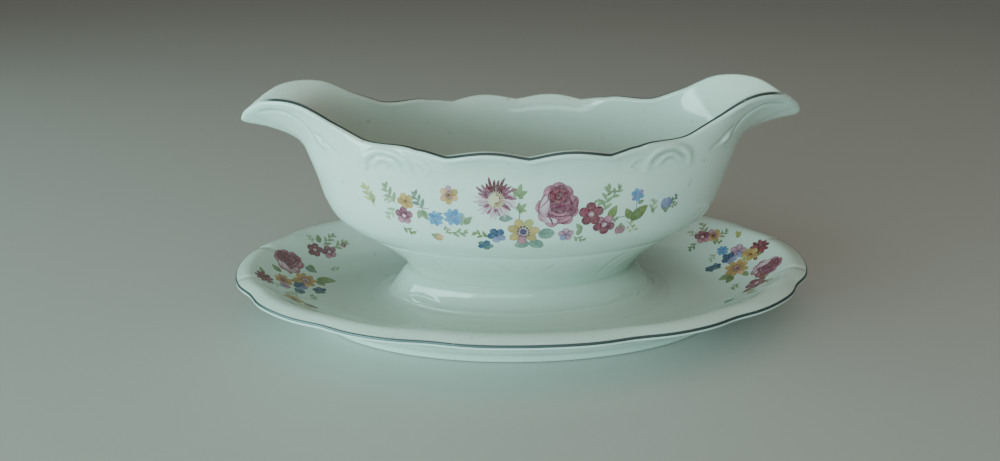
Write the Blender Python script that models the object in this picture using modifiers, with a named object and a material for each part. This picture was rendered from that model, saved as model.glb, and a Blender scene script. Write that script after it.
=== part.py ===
"""Double-lipped gravy boat on its attached oval underplate.

The boat is one casting, an open bowl with a pouring lip at each end on a hollow oval foot.
The foot is luted to the underplate with slip, so nothing moves. A platinum line runs round
the boat's rim and round the underplate's edge, and four printed transfers lie on the glaze.

+X runs towards one lip, +Y towards the back, and +Z up. The origin is at the middle of the
underplate's footprint, on the surface that it stands on. Sizes below are in millimetres.
"""

from math import cos, exp, pi, radians, sin

import bpy
from mathutils import Vector

MM = 0.001
GAP = 0.3  # clearance between neighbouring pieces

# An oval section is (half length, half width, height).
# Boat, outside: the foot up to the waist, the cove up to the crease, then the belly.
LUTING = 1.0  # thickness of slip under the foot
WELL = 8.5  # height of the underplate's well, which the foot stands in
FOOT_BASE = WELL + GAP + LUTING + GAP
FOOT = [(54.6, 28.4, FOOT_BASE), (53.6, 28.8, 12.5), (51.6, 28.6, 15.5), (48.6, 27.6, 19.3)]
WAIST = (45.6, 26.3, 21.8)
COVE = [(48.8, 27.3, 26.0), (55.0, 29.6, 31.5)]
CREASE = (63.5, 33.0, 37.5)
BELLY = [(70.0, 37.0, 41.8), (75.0, 40.6, 47.0), (78.2, 42.8, 54.0), (80.0, 43.6, 61.0)]
NECK = (82.4, 43.2, 69.0)

# The rim: an oval drawn out into a lip at each end. At some angles from the front, its half
# width and its height.
RIM_LENGTH, LIP_LENGTH, LIP_POWER = 80.0, 25.4, 5
RIM_ANGLES = [0, 15, 30, 40, 50, 60, 70, 80, 90]
RIM_WIDTHS = [44.7, 45.2, 43.4, 41.4, 40.1, 41.2, 42.0, 40.0, 38.0]
RIM_HEIGHTS = [77.5, 77.5, 78.5, 80.4, 86.0, 91.9, 91.7, 86.6, 82.0]
RIM_CUSPS = [0, 20.4, 43.0]  # the scallops run between these angles
SCALLOP_RISE, SCALLOP_POWER = 2.1, 1.25
FLARE_STEPS = [0.3, 0.55, 0.8, 1.0]  # from the neck to the rim
NECK_LEVEL = len(BELLY) + 1  # levels on the bowl are counted from the crease at 0
TOP = NECK_LEVEL + len(FLARE_STEPS)  # the rim's level
CROWN = 0.9  # how far the rim is rounded up between its two edges
TIP_CROWN = 1.8  # the same at the tip of a lip, where the rim is nearly an edge

# Boat, inside.
WALL = 3.2
TIP_WALL = 1.6  # the rim at the tip of a lip
TIP_SPREAD = 14.0  # degrees that the thin part spreads to either side of the tip
FLOOR = [(58.5, 28.6, 38.6), (49.5, 24.6, 32.6), (36.0, 17.0, 28.2), (18.0, 8.5, 26.6)]
HOLLOW = [(18.0, 9.0, 21.6), (36.0, 18.5, 21.2), (42.6, 22.6, 19.0), (47.4, 24.4, 15.0)]
FOOT_WALL = 4.2

# Underplate: sections from the vent's top over the edge and back to the vent's foot, each with
# the share of the scallops' depth that it takes.
VENT = 2.5  # radius of the hole that lets the foot's air out in the kiln
PLATE_LENGTH, PLATE_WIDTH, PLATE_HEIGHT = 116.4, 69.9, 23.3
PLATE = [
    (VENT, VENT, WELL, 0.0),
    (60.0, 31.5, WELL, 0.0),
    (80.0, 37.5, 8.7, 0.0),
    (90.0, 44.5, 11.0, 0.0),
    (97.0, 50.0, 14.6, 0.1),
    (103.0, 55.5, 18.6, 0.3),
    (109.8, 63.0, PLATE_HEIGHT, 0.7),
    (115.4, 68.9, 22.8, 1.0),
    (PLATE_LENGTH, PLATE_WIDTH, 21.6, 1.0),
    (115.4, 68.9, 20.2, 1.0),
    (107.0, 61.0, 16.2, 0.5),
    (96.0, 52.0, 9.4, 0.1),
    (87.0, 46.6, 4.4, 0.0),
    (84.0, 44.0, 0.0, 0.0),
    (80.5, 40.5, 0.0, 0.0),
    (79.0, 39.0, 3.8, 0.0),
    (40.0, 20.0, 3.8, 0.0),
    (VENT, VENT, 3.8, 0.0),
]
PLATE_CUSPS = [18, 40, 66]  # degrees from the front or the back, on either side
CUSP_DEPTH = 0.014  # as a share of the section's size
CUSP_SPREAD = 5.0  # degrees

LINE_RADIUS = 0.6
STEPS = 72  # points round an oval

# Transfers: the angles and the levels on their surface that each one spans.
FILM = 0.3
BOAT_PRINT = ((-55, 58), (1.0, 5.0))
PLATE_PRINTS = {"left": ((-128, -62), (3.1, 6.4)), "right": ((62, 128), (3.1, 6.4))}
PRINT_GRID = (14, 6)

GLAZE = (0.70, 0.76, 0.73)
SLIP = (0.66, 0.71, 0.68)
PLATINUM = (0.30, 0.33, 0.34)
PRINT_INK = (0.62, 0.34, 0.42)


def smooth(xs, ys, x):
    """The height at x of a smooth curve through the points, level at both ends."""
    i = 0
    while i < len(xs) - 2 and x > xs[i + 1]:
        i += 1

    def slope(k):
        if k in (0, len(xs) - 1):
            return 0.0
        return (ys[k + 1] - ys[k - 1]) / (xs[k + 1] - xs[k - 1])

    h = xs[i + 1] - xs[i]
    t = (x - xs[i]) / h
    return (
        (2 * t**3 - 3 * t**2 + 1) * ys[i]
        + (t**3 - 2 * t**2 + t) * h * slope(i)
        + (3 * t**2 - 2 * t**3) * ys[i + 1]
        + (t**3 - t**2) * h * slope(i + 1)
    )


def along(points, t):
    """The point at t on a smooth curve, where whole numbers are the given points."""
    i = min(max(int(t), 0), len(points) - 2)
    a, b = points[i], points[i + 1]
    before = points[i - 1] if i > 0 else 2 * a - b
    after = points[i + 2] if i + 2 < len(points) else 2 * b - a
    u = t - i
    return 0.5 * (
        2 * a
        + (b - before) * u
        + (2 * before - 5 * a + 4 * b - after) * u**2
        + (3 * a - before - 3 * b + after) * u**3
    )


def oval(section, angle):
    """A point on an oval section, at an angle from its front towards +X."""
    half_length, half_width, height = section[:3]
    return Vector((half_length * sin(angle), -half_width * cos(angle), height))


def quarter(angle):
    """Degrees from the front or the back, whichever is nearer, 0 to 90."""
    degrees = abs((angle + pi) % (2 * pi) - pi) * 180 / pi
    return min(degrees, 180 - degrees)


def scallop(degrees):
    """How high in a scallop of the boat's rim an angle is, from 0 at a cusp to 1."""
    for low, high in zip(RIM_CUSPS, RIM_CUSPS[1:]):
        if low <= degrees <= high:
            return sin(pi * (degrees - low) / (high - low)) ** SCALLOP_POWER
    return 0.0


def plate_dip(degrees):
    """How deep in a soft cusp of the underplate's edge an angle is, from 0 to 1."""
    gap = min(abs(degrees - cusp) for cusp in PLATE_CUSPS)
    return exp(-((gap / CUSP_SPREAD) ** 2))


def rim(angle):
    """A point on the boat's rim."""
    degrees = quarter(angle)
    width = smooth(RIM_ANGLES, RIM_WIDTHS, degrees)
    height = smooth(RIM_ANGLES, RIM_HEIGHTS, degrees)
    height += SCALLOP_RISE * scallop(degrees)
    point = oval((RIM_LENGTH, width, height), angle)
    point.x += LIP_LENGTH * sin(angle) ** LIP_POWER
    return point


def wall_curve(angle):
    """Points up the outside of the bowl, from the crease to the rim."""
    points = [oval(section, angle) for section in [CREASE, *BELLY, NECK]]
    neck, top = points[-1], rim(angle)
    bend = Vector((neck.x * 1.02, neck.y * 0.985, neck.z + 0.72 * (top.z - neck.z)))
    for s in FLARE_STEPS:
        points.append((1 - s) ** 2 * neck + 2 * s * (1 - s) * bend + s * s * top)
    return points


def wall(angle, level):
    """A point on the outside of the bowl."""
    return along(wall_curve(angle), level)


def plate(angle, level):
    """A point on the underplate, on its section of that level."""
    dip = CUSP_DEPTH * plate_dip(quarter(angle))
    points = []
    for half_length, half_width, height, share in PLATE:
        factor = 1 - dip * share
        points.append(oval((half_length * factor, half_width * factor, height), angle))
    return along(points, level)


def outward(surface, angle, level):
    """A surface's unit normal, away from the body that it bounds."""
    d = 0.01
    across = surface(angle + d, level) - surface(angle - d, level)
    up = surface(angle, level + d) - surface(angle, level - d)
    return across.cross(up).normalized()


def near_tip(angle):
    """1 at the tips of the lips, falling softly to 0 away from them."""
    return exp(-(((90 - quarter(angle)) / TIP_SPREAD) ** 2))


def crown(angle):
    """How far the rim is rounded up at an angle."""
    return CROWN + (TIP_CROWN - CROWN) * near_tip(angle)


def thickness(angle, level):
    """The bowl's wall, which thins towards the rim at the tips of the lips."""
    up = max(0.0, (level - NECK_LEVEL) / (TOP - NECK_LEVEL))
    return WALL - (WALL - TIP_WALL) * near_tip(angle) * up


def inner_wall(angle, level):
    """A point on the inside of the bowl."""
    return wall(angle, level) - outward(wall, angle, level) * thickness(angle, level)


def over_rim(angle, lift):
    """A point above the middle of the rim's thickness, square to the rim."""
    normal = outward(wall, angle, TOP)
    tangent = rim(angle + 0.01) - rim(angle - 0.01)
    middle = wall(angle, TOP) - normal * thickness(angle, TOP) / 2
    return middle + normal.cross(tangent).normalized() * lift


def ring(point):
    """Points once round, from a function of the angle."""
    return [point(2 * pi * k / STEPS) for k in range(STEPS)]


def oval_ring(section):
    return ring(lambda angle: oval(section, angle))


def mesh_object(name, points, faces, colour, metallic=0.0, roughness=0.15):
    """A named piece with its own material, from points in millimetres."""
    mesh = bpy.data.meshes.new(name)
    mesh.from_pydata([point * MM for point in points], [], faces)
    mesh.update()
    mesh.shade_smooth()
    mesh.set_sharp_from_angle(angle=radians(40))
    piece = bpy.data.objects.new(name, mesh)
    finish(piece, colour, metallic, roughness)
    return piece


def finish(piece, colour, metallic, roughness):
    material = bpy.data.materials.new(piece.name)
    material.use_nodes = True
    shader = material.node_tree.nodes["Principled BSDF"]
    shader.inputs["Base Color"].default_value = (*colour, 1)
    shader.inputs["Metallic"].default_value = metallic
    shader.inputs["Roughness"].default_value = roughness
    piece.data.materials.append(material)
    collection.objects.link(piece)


def loft(name, rings, colour, closed=False):
    """A solid through rings of points, capped at both ends or closed on itself."""
    points = [point for one in rings for point in one]
    faces = []
    joins = list(zip(range(len(rings)), range(1, len(rings))))
    if closed:
        joins.append((len(rings) - 1, 0))
    for low, high in joins:
        for k in range(STEPS):
            after = (k + 1) % STEPS
            faces.append((low * STEPS + k, low * STEPS + after, high * STEPS + after, high * STEPS + k))
    if not closed:
        faces.append(tuple(reversed(range(STEPS))))
        last = (len(rings) - 1) * STEPS
        faces.append(tuple(range(last, last + STEPS)))
    return mesh_object(name, points, faces, colour)


def make_boat():
    """One casting: up inside the hollow foot, out, up the outside, over the rim and down inside."""
    foot_inside = (FOOT[0][0] - FOOT_WALL, FOOT[0][1] - FOOT_WALL, FOOT_BASE)
    rings = [oval_ring(section) for section in [*HOLLOW, foot_inside]]
    rings += [oval_ring(section) for section in [*FOOT, WAIST, *COVE]]
    for level in range(TOP + 1):
        rings.append(ring(lambda angle, level=level: wall(angle, level)))

    rings.append(ring(lambda angle: over_rim(angle, crown(angle))))
    for level in range(TOP, 1, -1):
        rings.append(ring(lambda angle, level=level: inner_wall(angle, level)))
    rings += [oval_ring(section) for section in FLOOR]
    return loft("boat", rings, GLAZE)


def make_underplate():
    """A shallow oval dish with a scalloped edge, a foot ring and a vent under the boat's foot."""
    rings = [
        ring(lambda angle, level=level: plate(angle, level)) for level in range(len(PLATE))
    ]
    return loft("underplate", rings[::-1], GLAZE, closed=True)


def make_luting():
    """The ring of slip that holds the foot, with a fillet round the outside."""
    length, width, base = FOOT[0]
    low = WELL + GAP
    high = low + LUTING
    profile = [
        (-FOOT_WALL, low),
        (-FOOT_WALL, high),
        (GAP, high),
        (GAP + 0.2, high + 1.6),
        (GAP + 0.8, high + 0.6),
        (GAP + 2.4, low + 0.3),
        (GAP + 2.4, low),
    ]
    rings = [oval_ring((length + out, width + out, height)) for out, height in profile]
    return loft("luting_slip", rings[::-1], SLIP, closed=True)


def make_line(name, path):
    """A platinum line: a bead along a closed path."""
    curve = bpy.data.curves.new(name, "CURVE")
    curve.dimensions = "3D"
    curve.bevel_depth = LINE_RADIUS * MM
    curve.bevel_resolution = 1
    spline = curve.splines.new("POLY")
    spline.points.add(len(path) - 1)
    for target, point in zip(spline.points, path):
        target.co = (*(point * MM), 1)
    spline.use_cyclic_u = True
    piece = bpy.data.objects.new(name, curve)
    finish(piece, PLATINUM, 1.0, 0.35)
    return piece


def make_lines():
    lift = GAP + LINE_RADIUS + 0.1
    make_line("boat_rim_line", ring(lambda angle: over_rim(angle, crown(angle) + lift)))
    edge = [section[0] for section in PLATE].index(PLATE_LENGTH)

    def off_edge(angle):
        return plate(angle, edge) - outward(plate, angle, edge) * lift

    make_line("underplate_rim_line", ring(off_edge))


def make_transfer(name, surface, side, angles, levels, turn=0.0):
    """A printed film that follows a surface, just clear of it."""
    columns, rows = PRINT_GRID
    points, faces = [], []
    for row in range(rows + 1):
        level = levels[0] + (levels[1] - levels[0]) * row / rows
        for column in range(columns + 1):
            angle = radians(angles[0] + (angles[1] - angles[0]) * column / columns) + turn
            normal = outward(surface, angle, level) * side
            points.append(surface(angle, level) + normal * (GAP + 0.1))
    for row in range(rows):
        for column in range(columns):
            a = row * (columns + 1) + column
            corners = (a, a + 1, a + columns + 2, a + columns + 1)
            faces.append(corners if side > 0 else corners[::-1])
    piece = mesh_object(name, points, faces, PRINT_INK)
    film = piece.modifiers.new("Film", "SOLIDIFY")
    film.thickness = FILM * MM
    film.offset = 1.0
    return piece


def make_transfers():
    """One transfer on each side of the bowl and one at each end of the underplate."""
    for name, turn in (("transfer_front", 0.0), ("transfer_back", pi)):
        make_transfer(name, wall, 1, *BOAT_PRINT, turn)
    for name, (angles, levels) in PLATE_PRINTS.items():
        make_transfer("transfer_" + name, plate, -1, angles, levels)


for old in list(bpy.data.objects):
    bpy.data.objects.remove(old)
collection = bpy.data.collections.new("gravy_boat")
bpy.context.scene.collection.children.link(collection)

make_boat()
make_underplate()
make_luting()
make_lines()
make_transfers()
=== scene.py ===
"""The looks of the gravy boat: glazed clay, worn platinum lines and printed flower sprays.

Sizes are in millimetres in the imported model's frame: +X towards one lip, +Y towards the back
and +Z up. Every piece rides on the one rigid body.
"""

from math import cos, log, pi, radians, sin, tan

import bpy
import numpy as np
from mathutils import Matrix, Vector
from mathutils.bvhtree import BVHTree


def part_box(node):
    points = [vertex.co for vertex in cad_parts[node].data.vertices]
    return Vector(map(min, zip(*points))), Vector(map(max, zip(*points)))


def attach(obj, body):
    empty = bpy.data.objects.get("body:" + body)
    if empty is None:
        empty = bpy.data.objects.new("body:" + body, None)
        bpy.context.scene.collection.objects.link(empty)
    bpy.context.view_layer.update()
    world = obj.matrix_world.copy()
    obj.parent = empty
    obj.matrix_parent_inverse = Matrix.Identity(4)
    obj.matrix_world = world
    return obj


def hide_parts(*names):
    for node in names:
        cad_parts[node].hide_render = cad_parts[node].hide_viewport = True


MM = 0.001
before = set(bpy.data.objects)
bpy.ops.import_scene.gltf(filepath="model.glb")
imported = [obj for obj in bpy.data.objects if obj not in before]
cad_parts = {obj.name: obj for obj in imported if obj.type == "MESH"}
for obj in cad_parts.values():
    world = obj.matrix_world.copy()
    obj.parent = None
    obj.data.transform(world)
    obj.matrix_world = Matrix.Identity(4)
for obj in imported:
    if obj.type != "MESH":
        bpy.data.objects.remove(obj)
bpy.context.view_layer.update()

# ---------------------------------------------------------------------------
# Sizes. An oval section is (half length, half width, height).
# ---------------------------------------------------------------------------

WELL = 8.5
FOOT_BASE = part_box("boat")[0].z / MM
FOOT = [(54.6, 28.4, FOOT_BASE), (53.6, 28.8, 12.5), (51.6, 28.6, 15.5), (48.6, 27.6, 19.3)]
WAIST = (45.6, 26.3, 21.8)
COVE = [(48.8, 27.3, 26.0), (55.0, 29.6, 31.5)]
CREASE = (63.5, 33.0, 37.5)
CREASE_SINK = [0.2, 0.45, 0.2]  # how far the rings below, on and above the crease sink
BELLY = [(70.0, 37.0, 41.8), (75.0, 40.6, 47.0), (78.2, 42.8, 54.0), (80.0, 43.6, 61.0)]
NECK = (82.4, 43.2, 69.0)

# The rim is an oval drawn out into a lip at each end. Its half width and height are given
# at some angles from the front, in degrees. Scallops run between its cusps.
RIM_LENGTH, LIP_LENGTH, LIP_POWER = 80.0, 25.4, 5
RIM_ANGLES = [0, 15, 30, 40, 50, 60, 70, 80, 90]
RIM_WIDTHS = [44.7, 45.2, 43.4, 41.4, 40.1, 41.2, 42.0, 40.0, 38.0]
RIM_HEIGHTS = [77.5, 77.5, 78.5, 80.4, 86.0, 91.9, 91.7, 86.6, 82.0]
RIM_CUSPS = [0, 20.4, 43.0]
SCALLOP_RISE, SCALLOP_POWER = 2.1, 1.25
NICK_ANGLE, NICK_SPREAD, NICK_DEPTH = 28.5, 1.6, 0.3  # a small nick in the outer scallop
FLARE_STEPS = [0.3, 0.55, 0.8, 1.0]  # from the neck to the rim
FLARE_BEND = (1.02, 0.985, 0.72)  # shares of the neck's length and width and of the rise
NECK_LEVEL = len(BELLY) + 1  # levels on the bowl are counted from the crease at 0
TOP = NECK_LEVEL + len(FLARE_STEPS)
CROWN, TIP_CROWN = 1.2, 2.1  # how far the rim is rounded up, and at the tip of a lip

WALL = 3.2
TIP_WALL, TIP_SPREAD = 1.6, 14.0  # the thin rim at the tip of a lip
FLOOR = [(58.5, 28.6, 38.6), (49.5, 24.6, 32.6), (36.0, 17.0, 28.2), (18.0, 8.5, 26.6)]
FLOOR_MIDDLE = (0.4, 0.2, 26.4)
HOLLOW = [(18.0, 9.0, 21.6), (36.0, 18.5, 21.2), (42.6, 22.6, 19.0), (47.4, 24.4, 15.0)]
FOOT_WALL = 4.2

PLATE_LENGTH, PLATE_WIDTH, PLATE_HEIGHT = np.array(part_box("underplate")[1]) / MM
VENT = 2.5
PLATE = [  # and the share of the scallops' depth that each section takes
    (VENT, VENT, WELL, 0.0),
    (60.0, 31.5, WELL, 0.0),
    (80.0, 37.5, 8.7, 0.0),
    (90.0, 44.5, 11.0, 0.0),
    (97.0, 50.0, 14.6, 0.1),
    (103.0, 55.5, 18.6, 0.3),
    (109.8, 63.0, PLATE_HEIGHT, 0.7),
    (PLATE_LENGTH - 1, PLATE_WIDTH - 1, PLATE_HEIGHT - 0.5, 1.0),
    (PLATE_LENGTH, PLATE_WIDTH, 21.6, 1.0),
    (PLATE_LENGTH - 1, PLATE_WIDTH - 1, 20.2, 1.0),
    (107.0, 61.0, 16.2, 0.5),
    (96.0, 52.0, 9.4, 0.1),
    (87.0, 46.6, 4.4, 0.0),
    (84.0, 44.0, 0.0, 0.0),
    (80.5, 40.5, 0.0, 0.0),
    (79.0, 39.0, 3.8, 0.0),
    (40.0, 20.0, 3.8, 0.0),
    (VENT, VENT, 3.8, 0.0),
]
EDGE = 8  # the level of the plate's outermost section
FOLDED = (6, 7)  # the levels that a crease crosses at each side of the plate's tips
PLATE_CUSPS = [18, 40, 66]  # degrees from the front or the back, on either side
CUSP_DEPTH, CUSP_SPREAD = 0.014, 5.0
FOLD_ANGLE, FOLD_SPREAD, FOLD_DEPTH = 77.0, 1.3, 0.35

# The soft fillet of slip round the foot, from the foot's side out to the well, and the two
# sections that close it out of sight.
FILLET = [
    (52.6, 27.9, 12.6),
    (54.0, 28.9, 12.2),
    (54.9, 29.4, 11.2),
    (56.2, 30.3, 9.9),
    (58.6, 32.2, 9.0),
    (62.0, 35.0, 8.56),
]
FILLET_UNDERSIDE = [(62.4, 35.4, 8.2), (52.0, 27.0, 8.2)]

# Low relief on one quarter of the boat: path of (x, height), half width, and rise.
RELIEF = [
    ([(97, 88.6), (92, 89.6), (87, 89.4), (81.5, 87), (78, 83.6), (75.6, 78.6)], 0.75, -0.7),
    ([(76.6, 83.6), (73.6, 81.6), (70.6, 79), (66.6, 76.4)], 0.8, -0.45),
    ([(74.6, 80.8), (73.0, 79.4), (71.6, 77.8)], 1.1, 1.0),
    ([(57.8, 73), (56.8, 77), (52, 79.7), (46, 79.2), (42.2, 76.6), (41, 72.8)], 1.1, 0.8),
    ([(54.3, 74.6), (51.4, 77), (48, 76.8), (45, 74)], 0.9, 0.6),
    ([(39.5, 77.4), (36.5, 76.6), (34.8, 74.4), (36.2, 72.6)], 0.8, 0.25),
    ([(27.5, 24), (31, 29), (35.4, 33), (41, 37)], 0.8, -0.2),
    ([(31.5, 24), (37, 28.6), (44, 32.6)], 1.0, 0.15),
    ([(3.1, 29), (8.2, 31.8), (12.6, 35)], 0.7, -0.12),
    ([(32, 13.2), (37, 14.8), (42.5, 14.8), (47, 13.2)], 0.8, 0.35),
    ([(38.8, 12.4), (43.6, 11.8), (45.8, 13.6)], 0.7, 0.35),
    ([(48, 17.6), (50.4, 15.4), (51.4, 12.8)], 0.9, 0.4),
]

# ---------------------------------------------------------------------------
# Surfaces. A ring is an array with a row for each angle from the front towards +X.
# ---------------------------------------------------------------------------


def ring_angles(count, squeeze):
    """Angles once round, closer together at the two ends than at the front and back."""
    turn = 2 * pi * np.arange(count) / count
    return turn + squeeze / 2 * np.sin(2 * turn)


def smooth(xs, ys, x):
    """The heights at x of a smooth curve through the points, level at both ends."""
    xs, ys = np.array(xs, float), np.array(ys, float)
    slopes = np.zeros(len(xs))
    slopes[1:-1] = (ys[2:] - ys[:-2]) / (xs[2:] - xs[:-2])
    i = np.clip(np.searchsorted(xs, x, side="right") - 1, 0, len(xs) - 2)
    h = xs[i + 1] - xs[i]
    t = (x - xs[i]) / h
    return (
        (2 * t**3 - 3 * t**2 + 1) * ys[i]
        + (t**3 - 2 * t**2 + t) * h * slopes[i]
        + (3 * t**2 - 2 * t**3) * ys[i + 1]
        + (t**3 - t**2) * h * slopes[i + 1]
    )


def along(keys, t):
    """What lies at t on a smooth curve through the keys, where whole numbers are the keys."""
    i = min(max(int(t), 0), len(keys) - 2)
    a, b = keys[i], keys[i + 1]
    before = keys[i - 1] if i > 0 else 2 * a - b
    after = keys[i + 2] if i + 2 < len(keys) else 2 * b - a
    u = t - i
    return 0.5 * (
        2 * a
        + (b - before) * u
        + (2 * before - 5 * a + 4 * b - after) * u**2
        + (3 * a - before - 3 * b + after) * u**3
    )


def refine(keys, steps):
    """Rings on the smooth surface through key rings, with some steps between two keys."""
    count = (len(keys) - 1) * steps
    return np.array([along(keys, k / steps) for k in range(count + 1)])


def oval(section, angles):
    half_length, half_width, height = section[:3]
    return np.column_stack(
        [half_length * np.sin(angles), -half_width * np.cos(angles), np.full(len(angles), height)]
    )


def ovals(sections, angles):
    return [oval(section, angles) for section in sections]


def quarter(angles):
    """Degrees from the front or the back, whichever is nearer, 0 to 90."""
    degrees = np.degrees(np.abs((angles + pi) % (2 * pi) - pi))
    return np.minimum(degrees, 180 - degrees)


def scallops(degrees):
    """0 at the cusps of the boat's rim, rising to 1 between them."""
    rise = np.zeros(len(degrees))
    for low, high in zip(RIM_CUSPS, RIM_CUSPS[1:]):
        inside = (degrees >= low) & (degrees <= high)
        along_lobe = (degrees[inside] - low) / (high - low)
        rise[inside] = np.clip(np.sin(pi * along_lobe), 0, 1) ** SCALLOP_POWER
    return rise


def bell(degrees, middles, spread):
    """1 at the middles, falling softly to 0 away from them."""
    gaps = np.abs(np.subtract.outer(degrees, middles)).min(axis=1)
    return np.exp(-((gaps / spread) ** 2))


def rim(angles):
    """The boat's outer rim."""
    degrees = quarter(angles)
    width = smooth(RIM_ANGLES, RIM_WIDTHS, degrees)
    height = smooth(RIM_ANGLES, RIM_HEIGHTS, degrees)
    height += SCALLOP_RISE * scallops(degrees)
    height -= NICK_DEPTH * bell(degrees, [NICK_ANGLE], NICK_SPREAD)
    x = RIM_LENGTH * np.sin(angles) + LIP_LENGTH * np.sin(angles) ** LIP_POWER
    return np.column_stack([x, -width * np.cos(angles), height])


def wall_keys(angles):
    """Key rings up the outside of the bowl, from the crease to the rim."""
    keys = ovals([CREASE, *BELLY, NECK], angles)
    neck, top = keys[-1], rim(angles)
    length, width, height = FLARE_BEND
    bend = neck * (length, width, 1)
    bend[:, 2] += height * (top[:, 2] - neck[:, 2])
    for s in FLARE_STEPS:
        keys.append((1 - s) ** 2 * neck + 2 * s * (1 - s) * bend + s * s * top)
    return keys


def plate_keys(angles):
    """Key rings over the underplate, from the vent's top over the edge and back."""
    dip = CUSP_DEPTH * bell(quarter(angles), PLATE_CUSPS, CUSP_SPREAD)
    fold = FOLD_DEPTH * bell(quarter(angles), [FOLD_ANGLE], FOLD_SPREAD)
    keys = []
    for level, (*section, share) in enumerate(PLATE):
        key = oval(section, angles)
        key[:, :2] *= (1 - dip * share)[:, None]
        if level in FOLDED:
            key[:, 2] -= fold
        keys.append(key)
    return keys


def unit(vectors):
    return vectors / np.maximum(np.linalg.norm(vectors, axis=-1, keepdims=True), 1e-9)


def across(rings):
    return np.roll(rings, -1, axis=-2) - np.roll(rings, 1, axis=-2)


def normals(rings):
    """Unit normals of a grid of rings, pointing out where the rings go up an outside."""
    return unit(np.cross(across(rings), np.gradient(rings, axis=0)))


# How strongly a bend counts, how often bends are smoothed, and the least gap, in mm, that
# points are taken to have, where hollows get pooled glaze and painted shade.
HOLLOW_GAIN, HOLLOW_PASSES, HOLLOW_GAP = 2, 3, 0.2


def hollow_pool_and_shade(rings):
    """How deep in a hollow each point lies, 0 to 1: glaze pools there, and painted shade darkens
    it.
    """
    out = normals(rings)
    bend = np.zeros(rings.shape[:2])
    for axis in (0, 1):
        ahead, behind = np.roll(rings, -1, axis), np.roll(rings, 1, axis)
        gap = np.maximum(np.linalg.norm(ahead - behind, axis=-1) / 2, HOLLOW_GAP)
        bend += np.sum((ahead + behind - 2 * rings) * out, axis=-1) / gap**2
    bend[[0, -1]] = 0
    for _ in range(HOLLOW_PASSES):
        bend[1:-1] = (bend[:-2] + 2 * bend[1:-1] + bend[2:]) / 4
    return np.clip(bend * HOLLOW_GAIN, 0, 1)


# ---------------------------------------------------------------------------
# Meshes
# ---------------------------------------------------------------------------

SHARP = radians(50)  # edges that bend more than this are drawn sharp

# Lines of sight onto the boat's front and down onto the underplate, and where they start.
BACKWARD, BEFORE = (0, 1, 0), -150
DOWNWARD, ABOVE = (0, 0, -1), 100


def add_piece(name, points, faces, material, node, colours):
    """A smooth mesh in the frame that stands for a CAD node, with a colour for each point."""
    mesh = bpy.data.meshes.new(name)
    mesh.from_pydata((points * MM).tolist(), [], faces)
    mesh.shade_smooth()
    mesh.set_sharp_from_angle(angle=SHARP)
    layer = mesh.color_attributes.new("paint", "FLOAT_COLOR", "POINT")
    rgba = np.ones((len(points), 4))
    rgba[:, :3] = colours
    layer.data.foreach_set("color", rgba.ravel())
    mesh.materials.append(material)
    piece = bpy.data.objects.new(name, mesh)
    bpy.context.scene.collection.objects.link(piece)
    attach(piece, "root")
    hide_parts(node)


def grid_faces(rows, columns, close_rows=False, caps=False):
    """Faces of rings of points, facing out where the rings go up an outside."""
    faces = []
    for r in range(rows if close_rows else rows - 1):
        low, high = r * columns, (r + 1) % rows * columns
        for c in range(columns):
            d = (c + 1) % columns
            faces.append((low + c, low + d, high + d, high + c))
    if caps:
        faces.append(tuple(reversed(range(columns))))
        faces.append(tuple(range((rows - 1) * columns, rows * columns)))
    return faces


def tree_of(rings):
    """A search tree of a grid of rings, in millimetres."""
    points = rings.reshape(-1, 3)
    return BVHTree.FromPolygons(points.tolist(), grid_faces(*rings.shape[:2]))


def greys(values):
    """A grey for each point, from a number for each point."""
    return np.repeat(np.clip(values, 0, 1).reshape(-1, 1), 3, axis=1)


# ---------------------------------------------------------------------------
# Clay
# ---------------------------------------------------------------------------

ROUND, FILLET_ROUND = 560, 360  # points in a ring
BOAT_SQUEEZE, PLATE_SQUEEZE = 0.4, 0.2  # how much closer they lie at the two ends

# How many steps are made from one given section or point to the next.
FOOT_STEPS, COVE_STEPS, WALL_STEPS, INSIDE_STEPS, HOLLOW_STEPS = 7, 12, 13, 5, 2
PLATE_STEPS, FILLET_STEPS, RELIEF_STEPS = 8, 5, 6
CROWN_STEPS = 10  # over the rim's rounded top, from its outside to its inside

COVE_SHADE, COVE_SHADE_SPREAD = 1.0, 9  # how strong the painted shade round the cove under the belly is, and how far, in mm
RELIEF_ENDS, RELIEF_TAPER = 0.05, 0.6  # how a stroke of relief fades at its two ends


def carve(rings):
    """Raises and sinks the relief, the same on all four quarters of the boat."""
    tree = tree_of(rings)
    out = normals(rings)
    folded = np.abs(rings.reshape(-1, 3)) * (1, -1, 1)
    lift = np.zeros(len(folded))
    for path, half_width, rise in RELIEF:
        keys = [np.array(point, float) for point in path]
        spots = []
        for x, z in refine(keys, RELIEF_STEPS):
            hit = tree.ray_cast(Vector((x, BEFORE, z)), Vector(BACKWARD))[0]
            if hit is not None:
                spots.append(hit[:])
        gaps = np.linalg.norm(folded[:, None] - np.array(spots)[None], axis=2)
        nearest = gaps.argmin(axis=1) / (len(spots) - 1)
        t = nearest * (1 - 2 * RELIEF_ENDS) + RELIEF_ENDS
        fade = np.sin(pi * t) ** RELIEF_TAPER
        near = gaps.min(axis=1)
        lift += rise * fade * np.exp(-((near / half_width) ** 2))
    return rings + out * lift.reshape(rings.shape[:2])[..., None]


def near_tip(angles):
    """1 at the tips of the lips, falling softly to 0 away from them."""
    return bell(quarter(angles), [90], TIP_SPREAD)[:, None]


def thickness(angles, level):
    """The bowl's wall, which thins towards the rim at the tips of the lips."""
    up = max(0.0, (level - NECK_LEVEL) / (TOP - NECK_LEVEL))
    return WALL - (WALL - TIP_WALL) * near_tip(angles) * up


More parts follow.
